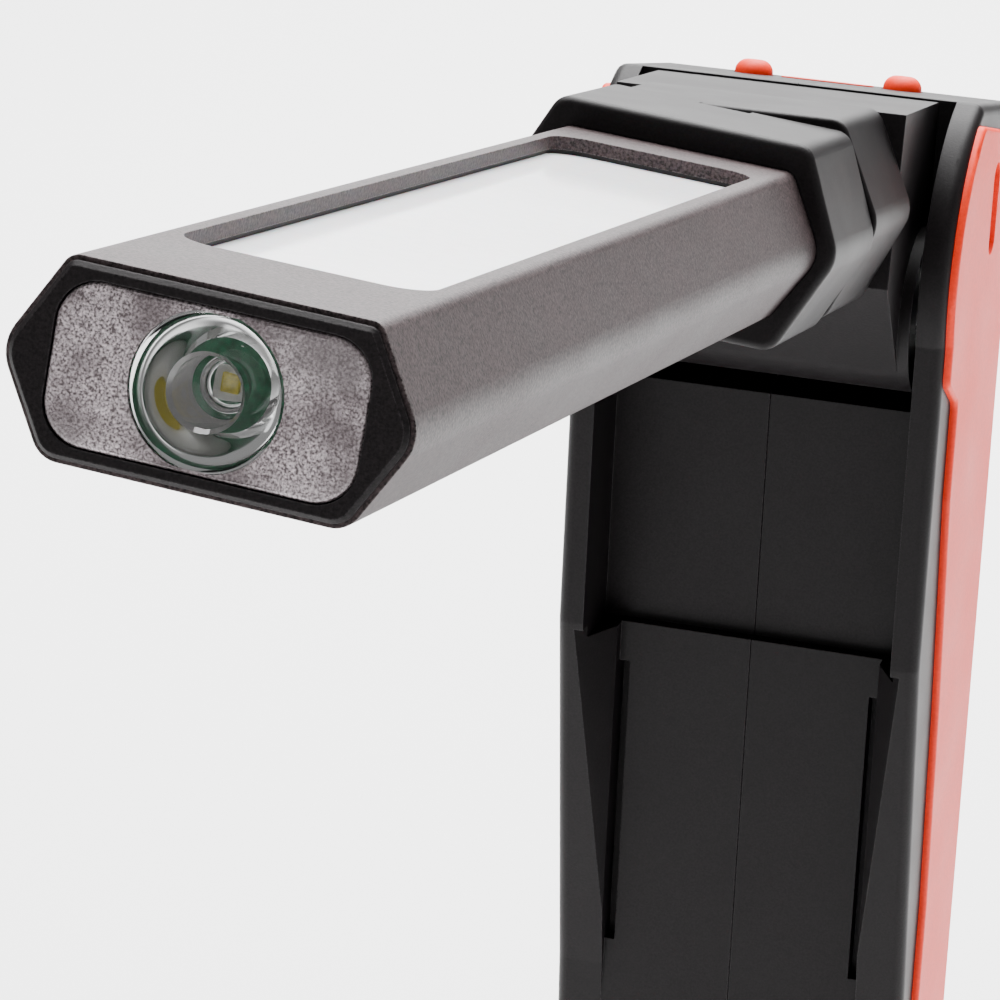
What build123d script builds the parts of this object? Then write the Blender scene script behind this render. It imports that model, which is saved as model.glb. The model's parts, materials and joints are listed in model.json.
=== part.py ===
from build123d import *
import os
from math import cos, radians, sin, sqrt, tan

os.makedirs("parts", exist_ok=True)

# Folding rechargeable work light. Millimetres, +Z up, -Y towards the lamp head's front.
# The origin is the middle of the base's flat magnetic face.

# ---------------------------------------------------------------- overall sizes
axis_height = 250.0        # base face to the head's long axis, above the origin
head_reach = 238.0         # that point to the head's end face, along the head
head_tilt = 10.0           # the head's rise over the horizontal, opened to its stop
head_swivel = -5.0         # the head's turn about its own long axis

# ---------------------------------------------------------------- lamp head
head_width = 39.0          # tip to tip of the flattened hexagon
head_flat = 28.6           # level top and bottom faces
head_height = 18.4
head_tip_radius = 4.0
head_top_radius = 1.6
head_bottom_radius = 2.8
head_length = 162.5        # end face to the collar
head_wall = 1.6
bezel_proud = 0.8
bezel_inset = 0.45
bezel_plug = 8.6
plug_wall = 1.2
fit_gap = 0.1
lens_width = 29.2
lens_height = 14.9
lens_radius = 4.0
lens_depth = 8.0
spot_diameter = 14.2
spot_well = 6.4
spot_well_depth = 4.4
spot_neck = 8.4
spot_rim = 1.0              # the straight band at its front
spot_flank = (6.1, 3.36)    # a point of its curved side: radius, height over its back
led_cavity = 4.8
led_cavity_depth = 2.6
led_size = 3.4
led_height = 1.6
led_dome = 0.6
led_dome_margin = 0.2
led_dome_taper = 30
board_thickness = 1.6
board_corner = 1.5
spot_board_size = (21.0, 12.0)
heatsink_length = 8.0
heatsink_hole = 2.4
heatsink_hole_spacing = 8.0
window_width = 24.5
window_length = 132.4
window_radius = 4.2
window_from_end = 19.8
gasket_thickness = 0.5
gasket_overlap = 0.7
gasket_margin = 0.2        # how far the gasket and the panel stand back from their neighbours
diffuser_thickness = 1.6
cob_board_width = 16.0
cob_board_thickness = 1.0
cob_strip_width = 6.0
cob_strip_thickness = 0.6
cob_end_margin = 6.0
carrier_width = 29.0
carrier_thickness = 1.5
carrier_leg_gap = 20.0
carrier_top = 2.0          # over the head's axis
carrier_end_gap = 6.0      # to the tube's rear end

# ---------------------------------------------------------------- collar and swivel
collar_proud_side = 2.2
collar_proud_top = 3.5
collar_proud_flat = 1.5
collar_length = 23.8
collar_edge_radius = 2.6
collar_tip_radius = 4.5
collar_rim_radius = 1.0
collar_socket = 12.0
swivel_gap = 0.3
spindle_diameter = 12.0
spindle_bore = 7.0
spindle_tail = 8.0         # past the hinge block's front wall
spindle_flange = 20.0
spindle_flange_thickness = 2.0
running_gap = 0.05
washer_thickness = 1.0
washer_diameter = 19.0
retainer_diameter = 18.0
retainer_thickness = 3.0
stop_pin_diameter = 2.5
stop_pin_radius = 10.6     # its place, from the swivel's axis
stop_pin_reach = 2.0
stop_web_angle = -107.5    # of the web that ends the collar's groove, from the head's right side
collar_screw_diameter = 2.5
collar_screw_head = 4.6
collar_screw_length = 6.5
collar_screw_spacing = 16.0
collar_screw_sink = 1.6    # depth of the hole for the head
collar_screw_proud = 0.2   # how far the head lies under the collar's face
collar_screw_head_height = 1.3

# ---------------------------------------------------------------- hinge
hinge_block_length = 23.1
hinge_front_wall = 5.0
hinge_forward = 9.8        # the fold axis, ahead of the origin's plane
hinge_below_axis = 14.0
knuckle_radius = 11.2
hinge_gap = 0.8            # knuckle to cheek, filled by a washer
bay_gap = 0.5              # round the knuckle
neck_wall = 2.4
neck_back = 4.0
neck_side = 1.6            # how far the neck's sides stand in from the knuckle's ends
neck_low_front = (-9.18, -6.38)   # where its lower face meets the knuckle, from the pivot
neck_corner_inset = (2.0, 0.5, 0.5)   # its front corners: lower, upper, and along the head
neck_top_drop = 0.4        # under the handle's top
retainer_gap = 2.2
stop_pin_floor = 1.0
washer_slack = 0.02
hinge_pin_diameter = 5.0
hinge_bolt_head = 8.0
hinge_bolt_head_thickness = 1.0
hinge_washer_diameter = 14.0

# ---------------------------------------------------------------- handle
body_width = 51.2          # over the two black shells
cheek_thickness = 3.8
body_back = 22.5
body_front = 20.0
body_wall = 2.2
side_wall = 1.6            # of the shells, under the grips
shell_gap = 0.1            # the parting line between the two shells
top_front = 3.4            # how far ahead of the origin's plane the top begins
top_rise = 13.6            # there, over the head's axis
top_slope = 12.9
shoulder_back = 15.6       # the point that sets the cheeks' round front
shoulder_rise = 5.4
shoulder_drop = 16.0
profile_radius = 2.0
edge_radius = 1.6
recess_floor = 8.0         # ahead of the origin's plane
recess_bottom = 66.5       # under the head's axis
recess_slope = 1.5         # how much its lower face rises towards the back
neck_room = [(-8.0, -22.0), (-3.4, -23.0), (-3.4, -27.5), (-8.0, -29.3)]   # (back, up) from the axis
block_front = 10.0
block_half = 17.3
block_end = 136.0
rail_groove = 1.5
rail_groove_depth = 2.6
rail_bevel_front = 12.0
rail_bevel_half = 23.2
rail_start = 71.0
rail_end = 114.5
rail_tail = (1.6, 4.0)      # its rounded lower end: back, down
grip_front = 9.0           # front of the lower handle
foot_front = 14.0
foot_height = 16.0
cavity_front = 4.6         # the hollow's lower part, ahead of the origin's plane
cavity_upper_front = 4.4   # its upper part, behind the origin's plane
cavity_under_hinge = 32.0  # where the two meet, under the head's axis
cavity_step = 6.0

# ---------------------------------------------------------------- soft grips
grip_proud = 1.0
grip_inset = 1.2
grip_edge_radius = 0.6
grip_back = 19.7
grip_top_gap = 3.5
grip_end_rise = 4.0        # its slanting lower end
grip_end_drop = 6.0
grip_arch_points = [(-6.4, 11.4), (-14.7, 4.6), (-18.6, -16.0)]   # (back, up) from the axis
grip_front_points = [(-18.6, -21.5), (-11.4, -26.0), (-11.4, -40.0), (-6.6, -72.0), (-3.4, -104.0)]
dimple_length = 13.0
dimple_width = 4.4
dimple_depth = 0.7
dimple_centre = (5.0, -3.0)

# ---------------------------------------------------------------- buttons on top
button_spacing = 21.2
button_back = 15.5         # behind the origin's plane
button_diameter = 5.4
button_height = 2.0
button_dome = 1.8          # radius of its rounded edge
button_gap = 0.25
button_flange = 7.6
button_flange_thickness = 1.0
button_travel = 0.8
button_clearance = 0.1
switch_size = 5.0
switch_height = 2.4
switch_key = 0.8
switch_key_diameter = 3.0
switch_board_size = (34.0, 8.0)
switch_board_thickness = 1.2
strip_width = 3.6
strip_end_gap = 1.3
strip_thickness = 0.8
strip_proud = 0.15

# ---------------------------------------------------------------- inside the handle
cell_diameter = 18.4
cell_length = 65.0
cell_edge = 0.8
cell_centre_back = 6.0
cell_bottom = 24.0         # over the base face
contact_size = 10.0
contact_corner = 1.0
contact_thickness = 0.6
pad_length = 44.0
pad_depth = 8.0
main_board_size = (30.0, 84.0)
main_board_thickness = 1.6
main_board_back = 12.5
main_board_bottom = 98.0
wire_diameter = 1.3
wire_spacing = 2.2
wire_back = 34.0           # the head leads' rear ends, out along the head
handle_wire_spacing = 5.0
screw_diameter = 2.6
screw_reach = 9.0
screw_head = 5.0
screw_head_thickness = 2.0
screw_boss = 6.4
# (back, up) from the axis
screw_places = [(16.0, -5.0), (17.4, -70.0), (17.4, -122.0), (-1.2, -145.0)]
foot_screw = (13.5, 19.5)  # (back, height over the base face)

# ---------------------------------------------------------------- base, socket and hook
cap_height = 14.0
cap_lip = 2.0
cap_wall = 1.5
cap_edge = 1.0
cap_floor = 1.5            # over the magnet's cup
magnet_diameter = 26.0
magnet_thickness = 4.0
magnet_cup_wall = 1.5
magnet_centre_back = 2.5
socket_height = 110.0      # over the base face
socket_width = 9.0
socket_tall = 3.3
socket_shell = 0.4
socket_floor = 1.2
socket_sunk = 0.8
socket_tongue = (6.4, 0.7)
socket_tongue_short = 1.2
flap_width = 14.0
flap_height = 10.0
flap_thickness = 1.5
flap_plug_depth = 0.7
flap_plug_gap = 0.3
flap_edge_radius = 0.5
flap_corner_radius = 2.0
hook_pivot_height = 22.0
hook_wire = 3.2
hook_radius = 8.5
hook_leg = 40.0
hook_tip = 10.0
hook_rod = 29.0
hook_gap = 0.6
hook_side_gap = 1.6
hook_end_gap = 2.0
hook_sunk = 0.3
hook_wall = 1.8

# ================================================================ frames and shared sizes
axis_point = Vector(0, 0, axis_height)
pivot = Vector(0, -hinge_forward, axis_height - hinge_below_axis)
tilt_rad = radians(head_tilt)

# Seen from the head's front: x to the right, y up, z out along the head.
hinge_frame = Plane(axis_point, x_dir=(1, 0, 0), z_dir=(0, -cos(tilt_rad), sin(tilt_rad)))
head_axis = Axis(axis_point, hinge_frame.z_dir)
head_frame = Plane(
    axis_point,
    x_dir=hinge_frame.x_dir.rotate(Axis((0, 0, 0), hinge_frame.z_dir), head_swivel),
    z_dir=hinge_frame.z_dir,
)


def level_plane(frame, height, station):
    """A plane facing the head's upper side, `station` out along the head."""
    centre = frame.from_local_coords(Vector(0, height, station))
    return Plane(centre, x_dir=frame.x_dir, z_dir=frame.y_dir)


collar_front = head_reach - head_length
collar_back = collar_front - collar_length
hinge_block_front = collar_back - swivel_gap
hinge_block_back = hinge_block_front - hinge_block_length
collar_width = head_width + 2 * collar_proud_side
collar_flat = head_flat + 2 * collar_proud_flat
collar_height = head_height + 2 * collar_proud_top
extrusion_front = head_reach - bezel_proud
extrusion_back = collar_front - collar_socket
window_middle = head_reach - window_from_end - window_length / 2
inner_top = head_height / 2 - head_wall
half_body = body_width / 2
bay_half = half_body - cheek_thickness
knuckle_half = bay_half - hinge_gap


def hexagon(width, flat, height, tip_radius, top_radius, bottom_radius):
    """A flattened hexagon: level top and bottom, one tip at each side."""
    with BuildSketch() as outline:
        with BuildLine():
            Polyline(
                (-flat / 2, height / 2), (flat / 2, height / 2), (width / 2, 0),
                (flat / 2, -height / 2), (-flat / 2, -height / 2), (-width / 2, 0), close=True,
            )
        make_face()
        fillet(outline.vertices().group_by(Axis.X)[0], tip_radius)
        fillet(outline.vertices().group_by(Axis.X)[-1], tip_radius)
        fillet(outline.vertices().group_by(Axis.Y)[0], bottom_radius)
        fillet(outline.vertices().group_by(Axis.Y)[-1], top_radius)
    return outline.sketch


head_outline = hexagon(
    head_width, head_flat, head_height, head_tip_radius, head_top_radius, head_bottom_radius,
)
collar_outline = hexagon(
    collar_width, collar_flat, collar_height,
    collar_tip_radius, collar_edge_radius, collar_edge_radius,
)


def inset(outline, amount):
    """The same outline drawn in by `amount`."""
    return offset(outline, amount=-amount, mode=Mode.PRIVATE)


def finish(piece, name):
    """Names a finished piece and writes its file."""
    piece.part.label = name
    export_step(piece.part, f"parts/{name}.step")


# ================================================================ lamp head
with BuildPart() as head_extrusion:
    with BuildSketch(head_frame.offset(extrusion_back)):
        add(head_outline)
        add(inset(head_outline, head_wall), mode=Mode.SUBTRACT)
    extrude(amount=extrusion_front - extrusion_back)
    with BuildSketch(level_plane(head_frame, 0, window_middle)):
        RectangleRounded(window_width, window_length, window_radius)
    extrude(amount=head_height, mode=Mode.SUBTRACT)
    with BuildSketch(level_plane(head_frame, 0, collar_front - collar_socket / 2)):
        with GridLocations(collar_screw_spacing, 1.0, 2, 1):
            Circle(collar_screw_diameter / 2)
    extrude(amount=-head_height, mode=Mode.SUBTRACT)
finish(head_extrusion, "head_extrusion")

with BuildPart() as front_bezel:
    with BuildSketch(head_frame.offset(extrusion_front)):
        add(inset(head_outline, bezel_inset))
    extrude(amount=bezel_proud)
    chamfer(edges().group_by(head_axis)[-1], bezel_inset)
    with BuildSketch(head_frame.offset(extrusion_front - bezel_plug)):
        add(inset(head_outline, head_wall + fit_gap))
    extrude(amount=bezel_plug)
    with BuildSketch(head_frame.offset(head_reach - lens_depth - fit_gap)):
        RectangleRounded(lens_width, lens_height, lens_radius)
    extrude(amount=lens_depth + 2 * bezel_proud, mode=Mode.SUBTRACT)
    with BuildSketch(head_frame.offset(extrusion_front - bezel_plug)):
        RectangleRounded(lens_width - 2 * plug_wall, lens_height - 2 * plug_wall, lens_radius - plug_wall)
    extrude(amount=bezel_plug, mode=Mode.SUBTRACT)
finish(front_bezel, "front_bezel")

lens_back = head_reach - lens_depth
with BuildPart() as lens_block:
    with BuildSketch(head_frame.offset(lens_back)):
        RectangleRounded(lens_width - fit_gap, lens_height - fit_gap, lens_radius - fit_gap / 2)
        Circle(spot_diameter / 2 + fit_gap / 2, mode=Mode.SUBTRACT)
    extrude(amount=lens_depth)
finish(lens_block, "lens_block")

# A collimating lens: a solid of revolution with a well in front and the LED's hollow behind.
with BuildPart() as spot_lens:
    with BuildSketch(Plane(head_frame.origin, x_dir=head_frame.x_dir, z_dir=-head_frame.y_dir)):
        with BuildLine():
            Polyline(
                (0, lens_back + led_cavity_depth), (led_cavity / 2, lens_back + led_cavity_depth),
                (led_cavity / 2, lens_back), (spot_neck / 2, lens_back),
            )
            ThreePointArc(
                (spot_neck / 2, lens_back), (spot_flank[0], lens_back + spot_flank[1]),
                (spot_diameter / 2, head_reach - spot_rim),
            )
            Polyline(
                (spot_diameter / 2, head_reach - spot_rim), (spot_diameter / 2, head_reach),
                (spot_well / 2, head_reach), (spot_well / 2, head_reach - spot_well_depth),
                (0, head_reach - spot_well_depth), (0, lens_back + led_cavity_depth),
            )
        make_face()
    revolve(axis=head_axis)
finish(spot_lens, "spot_lens")

with BuildPart() as spot_board:
    with BuildSketch(head_frame.offset(lens_back - fit_gap - board_thickness)):
        RectangleRounded(*spot_board_size, board_corner)
    extrude(amount=board_thickness)
finish(spot_board, "spot_board")

with BuildPart() as spot_led:
    with BuildSketch(head_frame.offset(lens_back - fit_gap)):
        Rectangle(led_size, led_size)
    extrude(amount=led_height - led_dome)
    with BuildSketch(head_frame.offset(lens_back - fit_gap + led_height - led_dome)):
        Circle(led_size / 2 - led_dome_margin)
    extrude(amount=led_dome, taper=led_dome_taper)
finish(spot_led, "spot_led")

heatsink_front = lens_back - fit_gap - board_thickness
with BuildPart() as spot_heatsink:
    with BuildSketch(head_frame.offset(heatsink_front - heatsink_length)):
        add(inset(head_outline, head_wall + 2 * fit_gap))
        Rectangle(carrier_leg_gap + 2, 2 * head_height, mode=Mode.INTERSECT)
    extrude(amount=heatsink_length)
    with BuildSketch(head_frame.offset(heatsink_front)):
        with GridLocations(heatsink_hole_spacing, 1.0, 2, 1):
            Circle(heatsink_hole / 2)
    extrude(amount=-heatsink_length, mode=Mode.SUBTRACT)
finish(spot_heatsink, "spot_heatsink")

with BuildPart() as window_gasket:
    with BuildSketch(level_plane(head_frame, inner_top - gasket_thickness, window_middle)):
        RectangleRounded(
            window_width + 2 * gasket_overlap, window_length + 2 * gasket_overlap, window_radius,
        )
        RectangleRounded(
            window_width + 2 * gasket_margin, window_length + 2 * gasket_margin, window_radius,
            mode=Mode.SUBTRACT,
        )
    extrude(amount=gasket_thickness)
finish(window_gasket, "window_gasket")

diffuser_top = inner_top - gasket_thickness
with BuildPart() as diffuser:
    with BuildSketch(level_plane(head_frame, diffuser_top - diffuser_thickness, window_middle)):
        RectangleRounded(
            window_width + 2 * (gasket_overlap - gasket_margin), window_length + 2 * gasket_overlap,
            window_radius,
        )
    extrude(amount=diffuser_thickness)
finish(diffuser, "diffuser")

carrier_length = heatsink_front - heatsink_length - fit_gap - extrusion_back - carrier_end_gap
carrier_middle = heatsink_front - heatsink_length - fit_gap - carrier_length / 2
leg_bottom = -inner_top + fit_gap
with BuildPart() as board_carrier:
    with BuildSketch(level_plane(head_frame, carrier_top - carrier_thickness, carrier_middle)):
        Rectangle(carrier_width, carrier_length)
    extrude(amount=carrier_thickness)
    with BuildSketch(level_plane(head_frame, leg_bottom, carrier_middle)):
        with GridLocations(carrier_leg_gap, 1.0, 2, 1):
            Rectangle(carrier_thickness, carrier_length)
    extrude(amount=carrier_top - carrier_thickness - leg_bottom)
finish(board_carrier, "board_carrier")

with BuildPart() as cob_board:
    with BuildSketch(level_plane(head_frame, carrier_top, window_middle)):
        RectangleRounded(cob_board_width, window_length, board_corner)
    extrude(amount=cob_board_thickness)
finish(cob_board, "cob_board")

with BuildPart() as cob_strip:
    with BuildSketch(level_plane(head_frame, carrier_top + cob_board_thickness, window_middle)):
        RectangleRounded(cob_strip_width, window_length - 2 * cob_end_margin, cob_strip_width / 2.1)
    extrude(amount=cob_strip_thickness)
finish(cob_strip, "cob_strip")

# ================================================================ collar and swivel
bulkhead_front = extrusion_back - fit_gap
with BuildPart() as head_collar:
    with BuildSketch(head_frame.offset(collar_back)):
        add(collar_outline)
    extrude(amount=collar_length)
    fillet(edges().group_by(head_axis)[-1], collar_rim_radius)
    fillet(edges().group_by(head_axis)[0], collar_rim_radius / 2)
    with BuildSketch(head_frame.offset(bulkhead_front)):
        add(inset(head_outline, -fit_gap))
    extrude(amount=collar_length, mode=Mode.SUBTRACT)
    with BuildSketch(head_frame.offset(collar_back)):
        Circle(spindle_diameter / 2)
    extrude(amount=collar_length, mode=Mode.SUBTRACT)
    with BuildSketch(head_frame.offset(bulkhead_front - spindle_flange_thickness)):
        Circle(spindle_flange / 2 + fit_gap)
    extrude(amount=spindle_flange_thickness, mode=Mode.SUBTRACT)
    with BuildSketch(head_frame.offset(collar_back)):
        Circle(stop_pin_radius + stop_pin_diameter)
        Circle(stop_pin_radius - stop_pin_diameter, mode=Mode.SUBTRACT)
        with PolarLocations(stop_pin_radius, 1, start_angle=stop_web_angle):
            Rectangle(3 * stop_pin_diameter, stop_pin_diameter, mode=Mode.SUBTRACT)
    extrude(amount=stop_pin_reach + swivel_gap, mode=Mode.SUBTRACT)
    with BuildSketch(level_plane(head_frame, -collar_height / 2, collar_front - collar_socket / 2)):
        with GridLocations(collar_screw_spacing, 1.0, 2, 1):
            Circle(collar_screw_head / 2 + fit_gap)
    extrude(amount=collar_screw_sink, mode=Mode.SUBTRACT)
    with BuildSketch(level_plane(head_frame, -collar_height / 2, collar_front - collar_socket / 2)):
        with GridLocations(collar_screw_spacing, 1.0, 2, 1):
            Circle(collar_screw_diameter / 2 + fit_gap)
    extrude(amount=collar_proud_top + collar_rim_radius, mode=Mode.SUBTRACT)
finish(head_collar, "head_collar")

with BuildPart() as swivel_spindle:
    with BuildSketch(head_frame.offset(hinge_block_front - hinge_front_wall - spindle_tail)):
        Circle(spindle_diameter / 2 - running_gap)
    extrude(amount=bulkhead_front - hinge_block_front + hinge_front_wall + spindle_tail)
    with BuildSketch(head_frame.offset(bulkhead_front - spindle_flange_thickness)):
        Circle(spindle_flange / 2)
    extrude(amount=spindle_flange_thickness)
    with BuildSketch(head_frame):
        Circle(spindle_bore / 2)
    extrude(amount=head_reach, mode=Mode.SUBTRACT)
finish(swivel_spindle, "swivel_spindle")

wall_back = hinge_block_front - hinge_front_wall
with BuildPart() as swivel_washer:
    with BuildSketch(hinge_frame.offset(wall_back - washer_thickness)):
        Circle(washer_diameter / 2)
        Circle(spindle_diameter / 2 + fit_gap, mode=Mode.SUBTRACT)
    extrude(amount=washer_thickness)
finish(swivel_washer, "swivel_washer")

with BuildPart() as swivel_retainer:
    with BuildSketch(head_frame.offset(wall_back - washer_thickness - fit_gap - retainer_thickness)):
        RegularPolygon(retainer_diameter / 2, 6)
        Circle(spindle_diameter / 2 - running_gap, mode=Mode.SUBTRACT)
    extrude(amount=retainer_thickness)
finish(swivel_retainer, "swivel_retainer")

screw_face = level_plane(
    head_frame, collar_screw_proud - collar_height / 2, collar_front - collar_socket / 2,
)
with BuildPart() as collar_screws:
    with BuildSketch(screw_face):
        with GridLocations(collar_screw_spacing, 1.0, 2, 1):
            Circle(collar_screw_head / 2)
    extrude(amount=collar_screw_head_height)
    with BuildSketch(screw_face):
        with GridLocations(collar_screw_spacing, 1.0, 2, 1):
            Circle(collar_screw_diameter / 2)
    extrude(amount=collar_screw_length)
finish(collar_screws, "collar_screws")

# ================================================================ hinge block
side_view = Plane.YZ.offset(0)       # drawn in (y, z), extruded along X


def from_axis(back, up):
    """A point of the side view, measured from the origin's plane and the head's axis height."""
    return (back, axis_height + up)


pivot_view = (pivot.Y, pivot.Z)
screw_points = [from_axis(*place) for place in screw_places] + [foot_screw]
neck_station = hinge_block_back + neck_corner_inset[2]
lower_corner = hinge_frame.from_local_coords(
    Vector(0, neck_corner_inset[0] - collar_height / 2, neck_station)
)
upper_corner = hinge_frame.from_local_coords(
    Vector(0, collar_height / 2 - neck_corner_inset[1], neck_station)
)
neck_rear_rise = sqrt(knuckle_radius**2 - (hinge_forward - neck_back) ** 2)
neck_top = (top_rise + (neck_back - top_front) * tan(radians(top_slope))) - neck_top_drop
with BuildPart() as hinge_block:
    with BuildSketch(hinge_frame.offset(hinge_block_back)):
        add(collar_outline)
    extrude(amount=hinge_block_length)
    fillet(edges().group_by(head_axis)[-1], collar_rim_radius / 2)
    fillet(edges().group_by(head_axis)[0], collar_rim_radius)
    with BuildSketch(side_view):
        with BuildLine():
            Polyline(
                (lower_corner.Y, lower_corner.Z), (upper_corner.Y, upper_corner.Z),
                from_axis(-neck_back, neck_top), from_axis(-neck_back, -hinge_below_axis + neck_rear_rise),
                (pivot.Y, pivot.Z), (pivot.Y + neck_low_front[0], pivot.Z + neck_low_front[1]),
                close=True,
            )
        make_face()
    extrude(amount=knuckle_half - neck_side, both=True)
    with BuildSketch(side_view):
        with Locations(pivot_view):
            Circle(knuckle_radius)
    extrude(amount=knuckle_half, both=True)
    with BuildSketch(side_view):
        with Locations(pivot_view):
            Circle(hinge_pin_diameter / 2 + running_gap)
    extrude(amount=knuckle_half, both=True, mode=Mode.SUBTRACT)
    with BuildSketch(hinge_frame.offset(hinge_block_front - hinge_front_wall)):
        Circle(retainer_diameter / 2 + retainer_gap)
    extrude(amount=-(hinge_block_length - hinge_front_wall - neck_wall), mode=Mode.SUBTRACT)
    with BuildSketch(hinge_frame.offset(hinge_block_front)):
        Circle(spindle_diameter / 2)
    extrude(amount=-hinge_front_wall, mode=Mode.SUBTRACT)
    with BuildSketch(hinge_frame.offset(hinge_block_front)):
        with Locations((0, stop_pin_radius)):
            Circle(stop_pin_diameter / 2)
    extrude(amount=-hinge_front_wall, mode=Mode.SUBTRACT)
finish(hinge_block, "hinge_block")

with BuildPart() as swivel_stop_pin:
    with BuildSketch(hinge_frame.offset(hinge_block_front - hinge_front_wall + stop_pin_floor)):
        with Locations((0, stop_pin_radius)):
            Circle(stop_pin_diameter / 2)
    extrude(amount=hinge_front_wall - stop_pin_floor + stop_pin_reach)
finish(swivel_stop_pin, "swivel_stop_pin")

pin_half = half_body - grip_inset - hinge_bolt_head_thickness - fit_gap
with BuildPart() as hinge_pin:
    with BuildSketch(side_view):
        with Locations(pivot_view):
            Circle(hinge_pin_diameter / 2)
    extrude(amount=pin_half, both=True)
    with BuildSketch(Plane.YZ.offset(-pin_half)):
        with Locations(pivot_view):
            Circle(hinge_bolt_head / 2)
    extrude(amount=-hinge_bolt_head_thickness)
finish(hinge_pin, "hinge_pin")

with BuildPart() as hinge_nut:
    with BuildSketch(Plane.YZ.offset(pin_half)):
        with Locations(pivot_view):
            Circle(hinge_bolt_head / 2)
    extrude(amount=hinge_bolt_head_thickness)
finish(hinge_nut, "hinge_nut")

with BuildPart() as hinge_washers:
    for side in (-1, 1):
        with BuildSketch(Plane.YZ.offset(side * (bay_half - hinge_gap / 2))):
            with Locations(pivot_view):
                Circle(hinge_washer_diameter / 2)
                Circle(hinge_pin_diameter / 2 + running_gap, mode=Mode.SUBTRACT)
        extrude(amount=hinge_gap / 2 - washer_slack, both=True)
finish(hinge_washers, "hinge_washers")

# ================================================================ handle shells
slope_rad = radians(top_slope)
slope = tan(slope_rad)
ceiling = body_wall / cos(slope_rad)
cavity_back = body_back - body_wall
cavity_half = half_body - grip_inset - side_wall
hook_back = body_back - hook_wire / 2 - hook_sunk
hook_recess_half = hook_radius + hook_wire / 2 + hook_side_gap
hook_recess_top = hook_pivot_height + hook_leg + hook_radius + hook_wire / 2 + hook_end_gap
hook_recess_floor = hook_back - hook_wire / 2 - hook_gap
cavity_over_hook = hook_recess_floor - hook_wall


def top_at(back):
    """Height of the handle's sloping top over the head's axis."""
    return top_rise - (back + top_front) * slope


def side_outline(*points):
    """A closed outline of the side view through points given as (back, up)."""
    with BuildSketch() as outline:
        with BuildLine():
            Polyline(*points, close=True)
        make_face()
    return outline.sketch


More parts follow.
